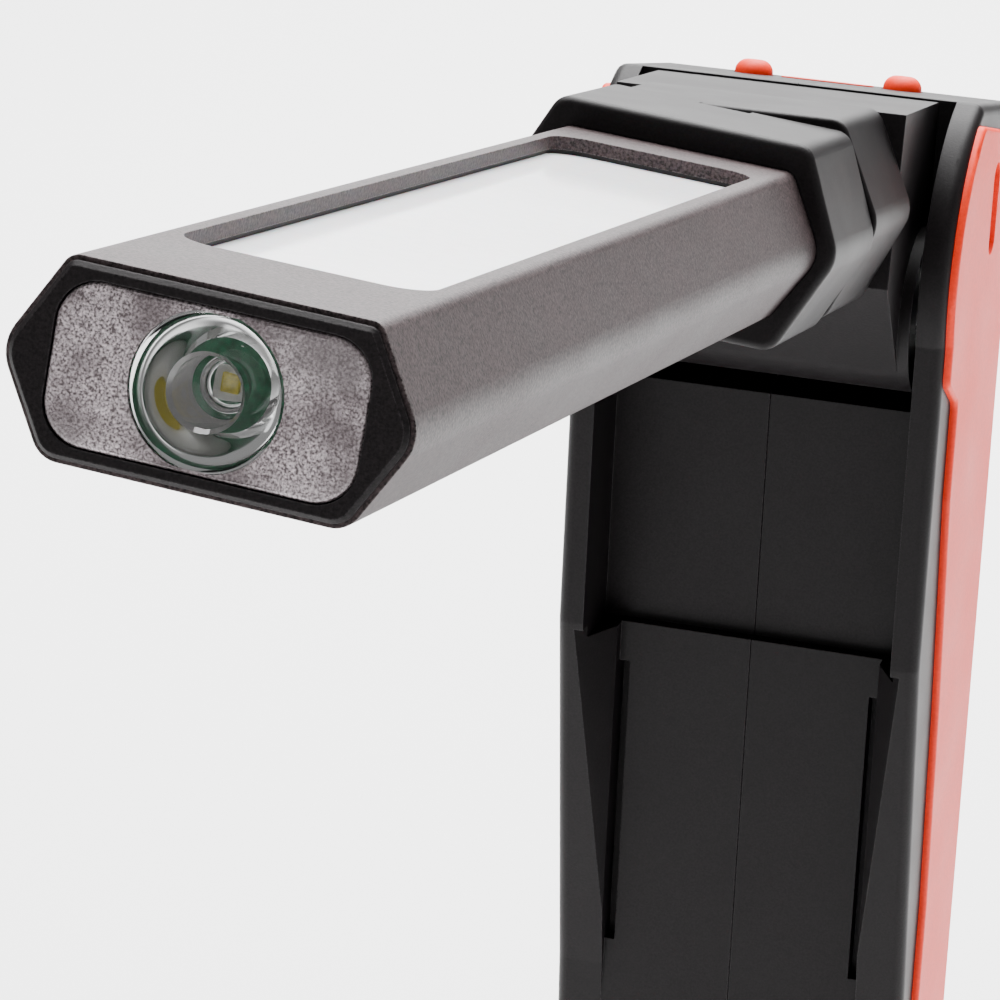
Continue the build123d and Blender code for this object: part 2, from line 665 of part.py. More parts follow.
with BuildPart() as handle_form:
    with BuildSketch(side_view) as profile:
        with BuildLine():
            front_arch = ThreePointArc(
                from_axis(-top_front, top_rise),
                from_axis(-shoulder_back, shoulder_rise),
                from_axis(-body_front, -shoulder_drop),
            )
            Polyline(
                front_arch @ 1,
                from_axis(-body_front, -recess_bottom + 4),
                from_axis(-grip_front - rail_tail[0], -rail_end - rail_tail[1]),
                from_axis(-grip_front, -block_end),
                (-grip_front, 2 * foot_height),
                (-foot_front, foot_height),
                (-foot_front, cap_height),
                (body_back, cap_height),
                from_axis(body_back, top_at(body_back)),
                front_arch @ 0,
            )
        make_face()
        # Every corner but the foot's square lower ones and the arch's smooth end.
        over_foot = profile.vertices().filter_by_position(Axis.Y, cap_height + 1, 2 * axis_height)
        corners = [
            corner for corner in over_foot
            if abs(corner.Y - axis_height + shoulder_drop) > 1
        ]
        fillet(corners, profile_radius)
    extrude(amount=half_body, both=True)
    fillet(edges().group_by(Axis.X)[0] + edges().group_by(Axis.X)[-1], edge_radius)
    # The bay that the hinge block turns in, open to the front and the top.
    with BuildSketch(side_view):
        with Locations(pivot_view):
            Circle(knuckle_radius + bay_gap)
        add(side_outline(
            from_axis(-neck_back + bay_gap, -hinge_below_axis), from_axis(-neck_back + bay_gap, 2 * top_rise),
            from_axis(-3 * body_front, 2 * top_rise), from_axis(-3 * body_front, -hinge_below_axis),
        ))
        add(side_outline(
            from_axis(-recess_floor, -hinge_below_axis), from_axis(-3 * body_front, -hinge_below_axis),
            from_axis(-3 * body_front, -recess_bottom),
            from_axis(-recess_floor, -recess_bottom + recess_slope),
        ))
        add(side_outline(*[from_axis(*corner) for corner in neck_room]))
    extrude(amount=bay_half, both=True, mode=Mode.SUBTRACT)
    # The channel between the side rails, which the folded head's ridge lies over.
    with BuildSketch(Plane.XY.offset(axis_height - block_end)):
        with BuildLine():
            Polyline(
                (-block_half - rail_groove, -block_front), (block_half + rail_groove, -block_front),
                (block_half + rail_groove, -rail_bevel_front), (rail_bevel_half, -body_front),
                (rail_bevel_half, -3 * body_front), (-rail_bevel_half, -3 * body_front),
                (-rail_bevel_half, -body_front), (-block_half - rail_groove, -rail_bevel_front),
                close=True,
            )
        make_face()
    extrude(amount=block_end - recess_bottom + 2 * recess_slope, mode=Mode.SUBTRACT)
    with BuildSketch(Plane.XZ.offset(block_front - rail_groove_depth)):
        with Locations((0, axis_height - (rail_start + rail_end) / 2)):
            with GridLocations(2 * block_half + rail_groove, 1.0, 2, 1):
                Rectangle(rail_groove, rail_end - rail_start)
    extrude(amount=rail_groove_depth + 1, mode=Mode.SUBTRACT)
    # The hollow for the cell and the boards.
    with BuildSketch(side_view):
        add(side_outline(
            from_axis(cavity_upper_front, top_at(cavity_upper_front) - ceiling),
            from_axis(cavity_back, top_at(cavity_back) - ceiling),
            (cavity_back, hook_recess_top + 2 * hook_wall), (cavity_over_hook, hook_recess_top + hook_wall),
            (cavity_over_hook, 0), (-cavity_front, 0),
            from_axis(-cavity_front, -cavity_under_hinge),
            from_axis(cavity_upper_front, -cavity_under_hinge + cavity_step),
        ))
    extrude(amount=cavity_half, both=True, mode=Mode.SUBTRACT)
    # Screw bosses across the hollow.
    with BuildSketch(side_view):
        with Locations(*screw_points):
            Circle(screw_boss / 2)
    extrude(amount=half_body - body_wall, both=True)
    with BuildSketch(Plane.YZ.offset(-screw_reach)):
        with Locations(*screw_points):
            Circle(screw_diameter / 2)
    extrude(amount=body_width, mode=Mode.SUBTRACT)
    with BuildSketch(Plane.YZ.offset(half_body - grip_inset - screw_head_thickness)):
        with Locations(*screw_points):
            Circle(screw_head / 2 + fit_gap)
    extrude(amount=body_width, mode=Mode.SUBTRACT)
    # The hinge pin's bore, with a seat for its head and its nut.
    with BuildSketch(side_view):
        with Locations(pivot_view):
            Circle(hinge_pin_diameter / 2)
    extrude(amount=body_width, both=True, mode=Mode.SUBTRACT)
    for side in (-1, 1):
        with BuildSketch(Plane.YZ.offset(side * pin_half)):
            with Locations(pivot_view):
                Circle(hinge_bolt_head / 2 + fit_gap)
        extrude(amount=side * body_width, mode=Mode.SUBTRACT)

# The grips' outline on the side view, from the cheek's round front down to the foot.
with BuildSketch(side_view) as grip_outline:
    with BuildLine():
        grip_arch = ThreePointArc(*[from_axis(*place) for place in grip_arch_points])
        Polyline(
            grip_arch @ 1,
            *[from_axis(*place) for place in grip_front_points],
            (grip_front_points[-1][0], 2 * foot_height + grip_end_rise),
            (grip_back, 2 * foot_height - grip_end_drop),
            from_axis(grip_back, top_at(body_back) - grip_top_gap),
            grip_arch @ 0,
        )
    make_face()
    fillet(
        [corner for corner in grip_outline.vertices() if abs(corner.Y - axis_height + shoulder_drop) > 1],
        profile_radius,
    )

# The top's plane, with Z out of the slope, between the two buttons.
top_plane = Plane(
    (0, button_back, axis_height + top_at(button_back)),
    x_dir=(1, 0, 0), z_dir=(0, sin(slope_rad), cos(slope_rad)),
)
strip_length = button_spacing - button_diameter - 2 * strip_end_gap
socket_plane = Plane((0, body_back, socket_height), x_dir=(-1, 0, 0), z_dir=(0, 1, 0))
hook_plane = Plane((0, hook_back, hook_pivot_height), x_dir=(-1, 0, 0), z_dir=(0, 1, 0))

with BuildPart() as handle_cuts:
    for side in (-1, 1):
        with BuildSketch(Plane.YZ.offset(side * (half_body - grip_inset))):
            add(grip_outline.sketch_local)
        extrude(amount=side * body_width)
    with BuildSketch(top_plane.offset(-2 * body_wall)):
        with GridLocations(button_spacing, 1.0, 2, 1):
            Circle(button_diameter / 2 + button_gap)
    extrude(amount=4 * body_wall)
    with BuildSketch(top_plane.offset(strip_proud - strip_thickness)):
        RectangleRounded(strip_length, strip_width, strip_width / 2.2)
    extrude(amount=body_wall)
    with BuildSketch(socket_plane.offset(-2 * body_wall)):
        RectangleRounded(socket_width + 2 * fit_gap, socket_tall + 2 * fit_gap, socket_tall / 2.2)
    extrude(amount=3 * body_wall)
    with BuildSketch(Plane.XZ.offset(-body_back - 1)):
        with Locations((0, (hook_recess_top - cap_height) / 2)):
            Rectangle(2 * hook_recess_half, hook_recess_top + cap_height)
    extrude(amount=body_back - hook_recess_floor + 1)
    with BuildSketch(Plane.YZ):
        with Locations((hook_back, hook_pivot_height)):
            Circle(hook_wire / 2 + running_gap)
    extrude(amount=hook_rod / 2, both=True)

with BuildPart() as left_shell:
    add(handle_form.part)
    add(handle_cuts.part, mode=Mode.SUBTRACT)
    split(bisect_by=Plane.YZ.offset(-shell_gap / 2), keep=Keep.BOTTOM)
finish(left_shell, "left_shell")

with BuildPart() as right_shell:
    add(handle_form.part)
    add(handle_cuts.part, mode=Mode.SUBTRACT)
    split(bisect_by=Plane.YZ.offset(shell_gap / 2), keep=Keep.TOP)
finish(right_shell, "right_shell")

for side, name in ((-1, "left_grip"), (1, "right_grip")):
    with BuildPart() as grip:
        with BuildSketch(Plane.YZ.offset(side * (half_body - grip_inset))):
            add(grip_outline.sketch_local)
        extrude(amount=side * (grip_inset + grip_proud))
        outer = faces().sort_by(Axis.X)[0 if side < 0 else -1]
        fillet(outer.edges(), grip_edge_radius)
        with BuildSketch(Plane.YZ.offset(side * (half_body + grip_proud - dimple_depth))):
            with Locations(from_axis(*dimple_centre)):
                SlotOverall(dimple_length, dimple_width, rotation=90)
        extrude(amount=side * grip_proud, mode=Mode.SUBTRACT)
    finish(grip, name)

with BuildPart() as shell_screws:
    head_seat = half_body - grip_inset - screw_head_thickness
    with BuildSketch(Plane.YZ.offset(head_seat)):
        with Locations(*screw_points):
            Circle(screw_head / 2)
    extrude(amount=screw_head_thickness - fit_gap)
    with BuildSketch(Plane.YZ.offset(head_seat)):
        with Locations(*screw_points):
            Circle(screw_diameter / 2)
    extrude(amount=-(head_seat + screw_reach - fit_gap))
finish(shell_screws, "shell_screws")

# ================================================================ buttons and switches
flange_top = -body_wall - button_clearance
for side, name in ((-1, "button_left"), (1, "button_right")):
    with BuildPart() as button:
        with BuildSketch(top_plane.offset(flange_top - button_flange_thickness)):
            with Locations((side * button_spacing / 2, 0)):
                Circle(button_flange / 2)
        extrude(amount=button_flange_thickness)
        with BuildSketch(top_plane.offset(flange_top)):
            with Locations((side * button_spacing / 2, 0)):
                Circle(button_diameter / 2)
        extrude(amount=button_height - flange_top)
        fillet(edges().group_by(Axis(top_plane.origin, top_plane.z_dir))[-1], button_dome)
    finish(button, name)

with BuildPart() as button_strip:
    with BuildSketch(top_plane.offset(strip_proud - strip_thickness)):
        RectangleRounded(strip_length - fit_gap, strip_width - fit_gap, strip_width / 2.3)
    extrude(amount=strip_thickness)
finish(button_strip, "button_strip")

switch_top = flange_top - button_flange_thickness - button_travel - button_clearance
with BuildPart() as tact_switches:
    with BuildSketch(top_plane.offset(switch_top - switch_height)):
        with GridLocations(button_spacing, 1.0, 2, 1):
            Rectangle(switch_size, switch_size)
    extrude(amount=switch_height - switch_key)
    with BuildSketch(top_plane.offset(switch_top - switch_key)):
        with GridLocations(button_spacing, 1.0, 2, 1):
            Circle(switch_key_diameter / 2)
    extrude(amount=switch_key)
finish(tact_switches, "tact_switches")

with BuildPart() as switch_board:
    with BuildSketch(top_plane.offset(switch_top - switch_height - switch_board_thickness)):
        RectangleRounded(*switch_board_size, board_corner)
    extrude(amount=switch_board_thickness)
finish(switch_board, "switch_board")

# ================================================================ cell, boards and socket
with BuildPart() as battery_cell:
    with BuildSketch(Plane.XY.offset(cell_bottom)):
        with Locations((0, cell_centre_back)):
            Circle(cell_diameter / 2)
    extrude(amount=cell_length)
    fillet(edges().group_by(Axis.Z)[-1] + edges().group_by(Axis.Z)[0], cell_edge)
finish(battery_cell, "battery_cell")

with BuildPart() as cell_contacts:
    with BuildSketch(Plane.XY.offset(cell_bottom - contact_thickness)):
        with Locations((0, cell_centre_back)):
            RectangleRounded(contact_size, contact_size, contact_corner)
    extrude(amount=contact_thickness)
    with BuildSketch(Plane.XY.offset(cell_bottom + cell_length)):
        with Locations((0, cell_centre_back)):
            RectangleRounded(contact_size, contact_size, contact_corner)
    extrude(amount=contact_thickness)
finish(cell_contacts, "cell_contacts")

# Two foam blocks, cut round to the cell, that fill the width between the shells.
with BuildPart() as cell_pads:
    with BuildSketch(Plane.XY.offset(cell_bottom + (cell_length - pad_length) / 2)):
        with Locations((0, cell_centre_back)):
            Rectangle(2 * (cavity_half - fit_gap), pad_depth)
            Circle(cell_diameter / 2 + fit_gap, mode=Mode.SUBTRACT)
    extrude(amount=pad_length)
finish(cell_pads, "cell_pads")

with BuildPart() as main_board:
    with BuildSketch(Plane.XZ.offset(-main_board_back)):
        with Locations((0, main_board_bottom + main_board_size[1] / 2)):
            RectangleRounded(*main_board_size, board_corner)
    extrude(amount=-main_board_thickness)
finish(main_board, "main_board")

socket_front = main_board_back + main_board_thickness
socket_length = body_back - socket_sunk - socket_front
socket_back_plane = socket_plane.offset(socket_front - body_back)
socket_bore = (socket_width - 2 * socket_shell, socket_tall - 2 * socket_shell, socket_tall / 2.8)
with BuildPart() as charge_socket:
    with BuildSketch(socket_back_plane):
        RectangleRounded(socket_width, socket_tall, socket_tall / 2.2)
        RectangleRounded(*socket_bore, mode=Mode.SUBTRACT)
    extrude(amount=socket_length)
    with BuildSketch(socket_back_plane):
        RectangleRounded(*socket_bore)
    extrude(amount=socket_floor)
    with BuildSketch(socket_back_plane):
        Rectangle(*socket_tongue)
    extrude(amount=socket_length - socket_tongue_short)
finish(charge_socket, "charge_socket")

with BuildPart() as socket_flap:
    with BuildSketch(socket_plane.offset(fit_gap)):
        RectangleRounded(flap_width, flap_height, flap_corner_radius)
        with Locations((0, flap_height / 4)):
            Rectangle(flap_width, flap_height / 2)
    extrude(amount=flap_thickness)
    fillet(faces().sort_by(Axis.Y)[-1].edges().group_by(Axis.Z)[0], flap_edge_radius)
    with BuildSketch(Plane.YZ):
        with Locations((body_back + fit_gap + flap_thickness / 2, socket_height + flap_height / 2)):
            Circle(flap_thickness / 2)
    extrude(amount=flap_width / 2, both=True)
    with BuildSketch(socket_plane.offset(fit_gap)):
        RectangleRounded(
            socket_width - 2 * flap_plug_gap, socket_tall - 2 * flap_plug_gap, socket_tall / 2.8,
        )
    extrude(amount=-flap_plug_depth)
finish(socket_flap, "socket_flap")

# ================================================================ wires
# Two leads from the head's boards through the hollow spindle, and two inside the handle.
with BuildPart() as head_wires:
    with BuildSketch(head_frame.offset(wire_back)):
        with GridLocations(wire_spacing, 1.0, 2, 1):
            Circle(wire_diameter / 2)
    extrude(amount=carrier_middle - carrier_length / 2 - fit_gap - wire_back)
finish(head_wires, "head_wires")

handle_wire_bottom = main_board_bottom + main_board_size[1] - 4 * wire_diameter
with BuildPart() as handle_wires:
    with BuildSketch(Plane.XY.offset(handle_wire_bottom)):
        with Locations((0, main_board_back - wire_diameter / 2 - fit_gap)):
            with GridLocations(handle_wire_spacing, 1.0, 4, 1):
                Circle(wire_diameter / 2)
    extrude(amount=axis_height - handle_wire_bottom)
finish(handle_wires, "handle_wires")

# ================================================================ base
foot_depth = body_back + foot_front
foot_middle = (body_back - foot_front) / 2
lip_depth = cavity_over_hook + cavity_front - 2 * fit_gap
lip_middle = (cavity_over_hook - cavity_front) / 2
lip_width = 2 * (cavity_half - fit_gap)
with BuildPart() as base_cap:
    with BuildSketch():
        with Locations((0, foot_middle)):
            RectangleRounded(body_width, foot_depth, edge_radius)
    extrude(amount=cap_height - fit_gap)
    chamfer(edges().group_by(Axis.Z)[0], cap_edge)
    with BuildSketch(Plane.XY.offset(cap_height - fit_gap)):
        with Locations((0, lip_middle)):
            Rectangle(lip_width, lip_depth)
    extrude(amount=cap_lip)
    with BuildSketch(Plane.XY.offset(cap_height + cap_lip)):
        with Locations((0, lip_middle)):
            Rectangle(lip_width - 2 * cap_wall, lip_depth - 2 * cap_wall)
    cap_hollow = cap_height + cap_lip - magnet_thickness - magnet_cup_wall - cap_floor
    extrude(amount=-cap_hollow, mode=Mode.SUBTRACT)
    with BuildSketch():
        with Locations((0, magnet_centre_back)):
            Circle(magnet_diameter / 2 + magnet_cup_wall + fit_gap)
    extrude(amount=magnet_thickness + magnet_cup_wall, mode=Mode.SUBTRACT)
    with BuildSketch():
        with Locations((0, hook_recess_floor + body_back / 2)):
            Rectangle(2 * hook_recess_half, body_back)
    extrude(amount=cap_height + 2 * cap_lip, mode=Mode.SUBTRACT)
finish(base_cap, "base_cap")

with BuildPart() as magnet_cup:
    with BuildSketch():
        with Locations((0, magnet_centre_back)):
            Circle(magnet_diameter / 2 + magnet_cup_wall)
    extrude(amount=magnet_thickness + magnet_cup_wall)
    with BuildSketch():
        with Locations((0, magnet_centre_back)):
            Circle(magnet_diameter / 2)
    extrude(amount=magnet_thickness, mode=Mode.SUBTRACT)
finish(magnet_cup, "magnet_cup")

with BuildPart() as base_magnet:
    with BuildSketch():
        with Locations((0, magnet_centre_back)):
            Circle(magnet_diameter / 2)
    extrude(amount=magnet_thickness)
finish(base_magnet, "base_magnet")

# ================================================================ hanging hook
# A bent wire: a cross rod in the shells, one leg, a half turn and a short tip.
with BuildPart() as hook:
    with BuildSketch(Plane.YZ.offset(-hook_rod / 2 + fit_gap)):
        with Locations((hook_back, hook_pivot_height)):
            Circle(hook_wire / 2)
    extrude(amount=hook_rod - 2 * fit_gap)
    with BuildLine(hook_plane) as bend:
        leg = Line((-hook_radius, 0), (-hook_radius, hook_leg))
        turn = ThreePointArc(leg @ 1, (0, hook_leg + hook_radius), (hook_radius, hook_leg))
        tip = Line(turn @ 1, (hook_radius, hook_leg - hook_tip))
    with BuildSketch(Plane(leg @ 0, z_dir=leg % 0)):
        Circle(hook_wire / 2)
    sweep(path=bend.wires()[0])
finish(hook, "hook")
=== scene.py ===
import bpy
import bmesh
import json
from math import cos, pi, radians, sin
from mathutils import Matrix, Vector


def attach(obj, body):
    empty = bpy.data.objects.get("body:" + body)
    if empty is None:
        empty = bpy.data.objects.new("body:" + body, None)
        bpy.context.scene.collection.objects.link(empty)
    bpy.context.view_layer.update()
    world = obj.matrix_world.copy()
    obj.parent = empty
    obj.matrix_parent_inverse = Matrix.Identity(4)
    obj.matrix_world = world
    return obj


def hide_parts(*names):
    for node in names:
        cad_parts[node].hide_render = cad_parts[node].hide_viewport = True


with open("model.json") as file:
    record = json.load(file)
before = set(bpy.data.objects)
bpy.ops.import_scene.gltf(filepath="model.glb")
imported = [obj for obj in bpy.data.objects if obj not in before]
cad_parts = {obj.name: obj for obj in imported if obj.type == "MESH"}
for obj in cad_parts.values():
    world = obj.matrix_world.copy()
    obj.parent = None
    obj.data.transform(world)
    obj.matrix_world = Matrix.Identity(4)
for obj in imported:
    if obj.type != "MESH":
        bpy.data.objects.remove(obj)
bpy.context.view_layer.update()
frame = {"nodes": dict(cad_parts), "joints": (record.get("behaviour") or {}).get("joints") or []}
nodes = frame["nodes"]

# ---------------------------------------------------------------- camera, floor and light
# A long lens looks down the lamp head from its front right, a little above it. The light
# stands on a pale floor. Large soft lamps shine from above, from behind and on the floor
# behind it, with two weak ones at the right and in front.
camera_data = bpy.data.cameras.new("camera")
camera_data.lens = 158.4
camera_data.sensor_width = 36.0
camera = bpy.data.objects.new("camera", camera_data)
bpy.context.scene.collection.objects.link(camera)
looks_along = Vector((-0.258, 0.9032, -0.3427)).normalized()
up = Vector((-0.137, 0.3167, 0.938))
right = looks_along.cross(up).normalized()
turn = Matrix((right, right.cross(looks_along), -looks_along)).transposed()
camera.matrix_world = Matrix.Translation((0.1226, -0.5703, 0.4129)) @ turn.to_4x4()
bpy.context.scene.camera = camera


def new_material(name):
    """An empty material with its principled shader and Object coordinates at hand."""
    material = bpy.data.materials.new(name)
    material.use_nodes = True
    tree = material.node_tree
    shader = tree.nodes["Principled BSDF"]
    place = tree.nodes.new("ShaderNodeTexCoord").outputs["Object"]
    return material, tree, shader, place


floor_size = 6.0
floor_mesh = bpy.data.meshes.new("floor")
floor_bm = bmesh.new()
bmesh.ops.create_grid(floor_bm, x_segments=1, y_segments=1, size=floor_size)
floor_bm.to_mesh(floor_mesh)
floor_bm.free()
floor = bpy.data.objects.new("floor", floor_mesh)
bpy.context.scene.collection.objects.link(floor)
floor_paint, _, floor_shader, _ = new_material("pale_floor")
floor_shader.inputs["Base Color"].default_value = (0.94, 0.94, 0.94, 1)
floor_shader.inputs["Roughness"].default_value = 0.9
floor_mesh.materials.append(floor_paint)

world = bpy.data.worlds.new("studio")
world.use_nodes = True
sky = world.node_tree.nodes["Background"]
sky.inputs["Color"].default_value = (1, 1, 1, 1)
sky.inputs["Strength"].default_value = 0.25
bpy.context.scene.world = world


def soft_lamp(name, place, aim, size, power):
    """A square soft lamp at `place`, turned to shine at `aim`."""
    lamp_data = bpy.data.lights.new(name, "AREA")
    lamp_data.size = size
    lamp_data.energy = power
    lamp = bpy.data.objects.new(name, lamp_data)
    bpy.context.scene.collection.objects.link(lamp)
    lamp.location = place
    lamp.rotation_euler = (Vector(aim) - Vector(place)).to_track_quat("-Z", "Y").to_euler()


light_middle = (0, -0.1, 0.22)
floor_behind = (0, 0.7, 0)
soft_lamp("top_lamp", (-0.25, 0.15, 1.35), light_middle, 1.0, 46)
soft_lamp("back_lamp", (-0.45, 1.5, 0.85), light_middle, 1.3, 24)
soft_lamp("floor_lamp", (0.1, 1.1, 1.5), floor_behind, 1.2, 85)
soft_lamp("side_lamp", (1.2, -0.2, 0.45), light_middle, 0.6, 1.3)
soft_lamp("front_lamp", (-0.2, -1.7, 0.55), light_middle, 0.5, 0.8)

# ---------------------------------------------------------------- lamp head's tube
# The head is an aluminium extrusion, a flattened hexagon with a long window milled in its
# top. It is bead blasted and anodised a warm grey, with its edges rubbed a little lighter.


def grained(
    name, colour, spread, grain, depth, roughness, metallic=0.0, worn=None, patch=0.012, gloss=0.5,
):
    """A surface with an even fine grain: patches of shade, a bump and lighter worn edges.

    `spread` is how far the shade varies, as a share of the colour. `grain` is the grain's
    size, `depth` its height and `patch` the size of the patches, in metres. `worn` is the
    colour where the edges are rubbed, or None for a little lighter than the rest, and
    `gloss` is how strongly the surface reflects.
    """
    grain_share = 0.86
    roughness_spread = 0.07
    edge_radius = 0.00022
    unbent, bent_most = 0.995, 0.90
    material, tree, shader, place = new_material(name)
    make = tree.nodes.new
    link = tree.links.new
    patches = make("ShaderNodeTexNoise")
    patches.inputs["Scale"].default_value = 1 / patch
    patches.inputs["Detail"].default_value = 4
    grains = make("ShaderNodeTexNoise")
    grains.inputs["Scale"].default_value = 1 / grain
    grains.inputs["Detail"].default_value = 1.5
    grains.inputs["Roughness"].default_value = 0.7
    link(place, patches.inputs["Vector"])
    link(place, grains.inputs["Vector"])
    shades = make("ShaderNodeMix")
    shades.data_type = "RGBA"
    shades.inputs["A"].default_value = (*[c * (1 - spread) for c in colour], 1)
    shades.inputs["B"].default_value = (*[min(1, c * (1 + spread)) for c in colour], 1)
    mixed = make("ShaderNodeMath")
    mixed.operation = "MULTIPLY_ADD"
    mixed.inputs[1].default_value = grain_share
    rest = make("ShaderNodeMath")
    rest.operation = "MULTIPLY"
    rest.inputs[1].default_value = 1 - grain_share
    link(grains.outputs["Fac"], mixed.inputs[0])
    link(patches.outputs["Fac"], rest.inputs[0])
    link(rest.outputs[0], mixed.inputs[2])
    stretch = make("ShaderNodeMapRange")
    stretch.inputs["From Min"].default_value = 0.35
    stretch.inputs["From Max"].default_value = 0.65
    link(mixed.outputs[0], stretch.inputs["Value"])
    link(stretch.outputs["Result"], shades.inputs["Factor"])
    rounded = make("ShaderNodeBevel")
    rounded.samples = 4
    rounded.inputs["Radius"].default_value = edge_radius
    geometry = make("ShaderNodeNewGeometry")
    bent = make("ShaderNodeVectorMath")
    bent.operation = "DOT_PRODUCT"
    link(rounded.outputs["Normal"], bent.inputs[0])
    link(geometry.outputs["Normal"], bent.inputs[1])
    edge = make("ShaderNodeMapRange")
    edge.inputs["From Min"].default_value = unbent
    edge.inputs["From Max"].default_value = bent_most
    link(bent.outputs["Value"], edge.inputs["Value"])
    rubbed = make("ShaderNodeMath")
    rubbed.operation = "MULTIPLY"
    link(edge.outputs["Result"], rubbed.inputs[0])
    link(stretch.outputs["Result"], rubbed.inputs[1])
    wear = make("ShaderNodeMix")
    wear.data_type = "RGBA"
    rubbed_colour = worn or [min(1, 1.4 * c + 0.01) for c in colour]
    wear.inputs["B"].default_value = (*rubbed_colour, 1)
    link(rubbed.outputs[0], wear.inputs["Factor"])
    link(shades.outputs["Result"], wear.inputs["A"])
    link(wear.outputs["Result"], shader.inputs["Base Color"])
    rough = make("ShaderNodeMapRange")
    rough.inputs["To Min"].default_value = roughness - roughness_spread
    rough.inputs["To Max"].default_value = roughness + roughness_spread
    link(patches.outputs["Fac"], rough.inputs["Value"])
    link(rough.outputs["Result"], shader.inputs["Roughness"])
    bump = make("ShaderNodeBump")
    bump.inputs["Distance"].default_value = depth
    bump.inputs["Strength"].default_value = 1.0
    link(grains.outputs["Fac"], bump.inputs["Height"])
    link(rounded.outputs["Normal"], bump.inputs["Normal"])
    link(bump.outputs["Normal"], shader.inputs["Normal"])
    shader.inputs["Metallic"].default_value = metallic
    shader.inputs["Specular IOR Level"].default_value = gloss
    return material


def dress(material, *names):
    """Gives a material to CAD pieces whose shape stays."""
    for name in names:
        mesh = nodes[name].data
        mesh.materials.clear()
        mesh.materials.append(material)


head_grey = grained(
    "bead_blasted_aluminium", (0.040, 0.0285, 0.0295), 0.7, 0.00035, 0.00005, 0.5,
    metallic=0.1, worn=(0.20, 0.17, 0.17), gloss=0.2,
)
dress(head_grey, "head_extrusion")

# ---------------------------------------------------------------- front bezel
# A black moulded frame pressed into the tube's front end. Its face has a fine grain from
# the mould and its outer edges are rubbed a little greyer.
bezel_black = grained(
    "grained_black", (0.008, 0.0062, 0.0068), 0.5, 0.0003, 0.00003, 0.5,
    worn=(0.05, 0.045, 0.047), gloss=0.12,
)
dress(bezel_black, "front_bezel")

# ---------------------------------------------------------------- lens block
# A clear acrylic block pressed into the bezel, bored for the spot lens. Its back is stippled;
# painted glints stand in for the light off it: pale and dark grey flecks under a glossy front.
swivel = next(joint for joint in frame["joints"] if joint["name"] == "head_swivel")
head_middle = Vector(swivel["pos_m"])
head_out = Vector(swivel["axis"]).normalized()
head_turn = radians(-5.0)   # how the head is swivelled at rest
head_right = Matrix.Rotation(head_turn, 3, head_out) @ Vector((1, 0, 0))
head_axes = Matrix((head_right, head_out.cross(head_right), head_out)).transposed()
head_place = Matrix.Translation(head_middle) @ head_axes.to_4x4()


def along_head(name):
    """A CAD piece's nearest and farthest reach along the head's axis, in metres."""
    reaches = [(v.co - head_middle).dot(head_out) for v in nodes[name].data.vertices]
    return min(reaches), max(reaches)


def finished(bm, name, material, body, replaced=(), place=None, smooth=radians(40)):
    """Makes an object of a bmesh, baked at its place, and lets it ride on its body."""
    bmesh.ops.remove_doubles(bm, verts=bm.verts, dist=1e-7)
    if place:
        bmesh.ops.transform(bm, matrix=place, verts=bm.verts)
    bmesh.ops.recalc_face_normals(bm, faces=bm.faces)
    mesh = bpy.data.meshes.new(name)
    bm.to_mesh(mesh)
    bm.free()
    mesh.materials.append(material)
    mesh.shade_smooth()
    mesh.set_sharp_from_angle(angle=smooth)
    piece = bpy.data.objects.new(name, mesh)
    bpy.context.scene.collection.objects.link(piece)
    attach(piece, body)
    if replaced:
        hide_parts(*replaced)
    return piece


stippled, stipple_tree, stipple_shader, stipple_place = new_material("stippled_acrylic_glint_painted")
make = stipple_tree.nodes.new
link = stipple_tree.links.new
stipple = make("ShaderNodeTexNoise")
stipple.inputs["Scale"].default_value = 1 / 0.00024
stipple.inputs["Detail"].default_value = 2
clouds = make("ShaderNodeTexNoise")
clouds.inputs["Scale"].default_value = 1 / 0.0055
clouds.inputs["Detail"].default_value = 4
link(stipple_place, stipple.inputs["Vector"])
link(stipple_place, clouds.inputs["Vector"])
# Painted glints: the stipple's peaks are painted pale and its hollows dark grey, dimmed in broad
# patches, in place of light glinting off the stippled back.
painted_glints = make("ShaderNodeMapRange")
painted_glints.inputs["From Min"].default_value = 0.36
painted_glints.inputs["From Max"].default_value = 0.66
link(stipple.outputs["Fac"], painted_glints.inputs["Value"])
painted_glint_patches = make("ShaderNodeMapRange")
painted_glint_patches.inputs["From Min"].default_value = 0.38
painted_glint_patches.inputs["From Max"].default_value = 0.60
painted_glint_patches.inputs["To Min"].default_value = 0.25
link(clouds.outputs["Fac"], painted_glint_patches.inputs["Value"])
painted_glint_amount = make("ShaderNodeMath")
painted_glint_amount.operation = "MULTIPLY"
link(painted_glints.outputs["Result"], painted_glint_amount.inputs[0])
link(painted_glint_patches.outputs["Result"], painted_glint_amount.inputs[1])
# The painted glints run from dark grey to a pale pinkish white in the block's colour.
painted_glint_colour = make("ShaderNodeMix")
painted_glint_colour.data_type = "RGBA"
painted_glint_colour.inputs["A"].default_value = (0.11, 0.085, 0.09, 1)
painted_glint_colour.inputs["B"].default_value = (0.80, 0.70, 0.73, 1)
link(painted_glint_amount.outputs[0], painted_glint_colour.inputs["Factor"])
link(painted_glint_colour.outputs["Result"], stipple_shader.inputs["Base Color"])
stipple_bump = make("ShaderNodeBump")
stipple_bump.inputs["Distance"].default_value = 0.00008
link(stipple.outputs["Fac"], stipple_bump.inputs["Height"])
link(stipple_bump.outputs["Normal"], stipple_shader.inputs["Normal"])
stipple_shader.inputs["Metallic"].default_value = 0.35
stipple_shader.inputs["Roughness"].default_value = 0.34
stipple_shader.inputs["Coat Weight"].default_value = 1.0
stipple_shader.inputs["Coat Roughness"].default_value = 0.03

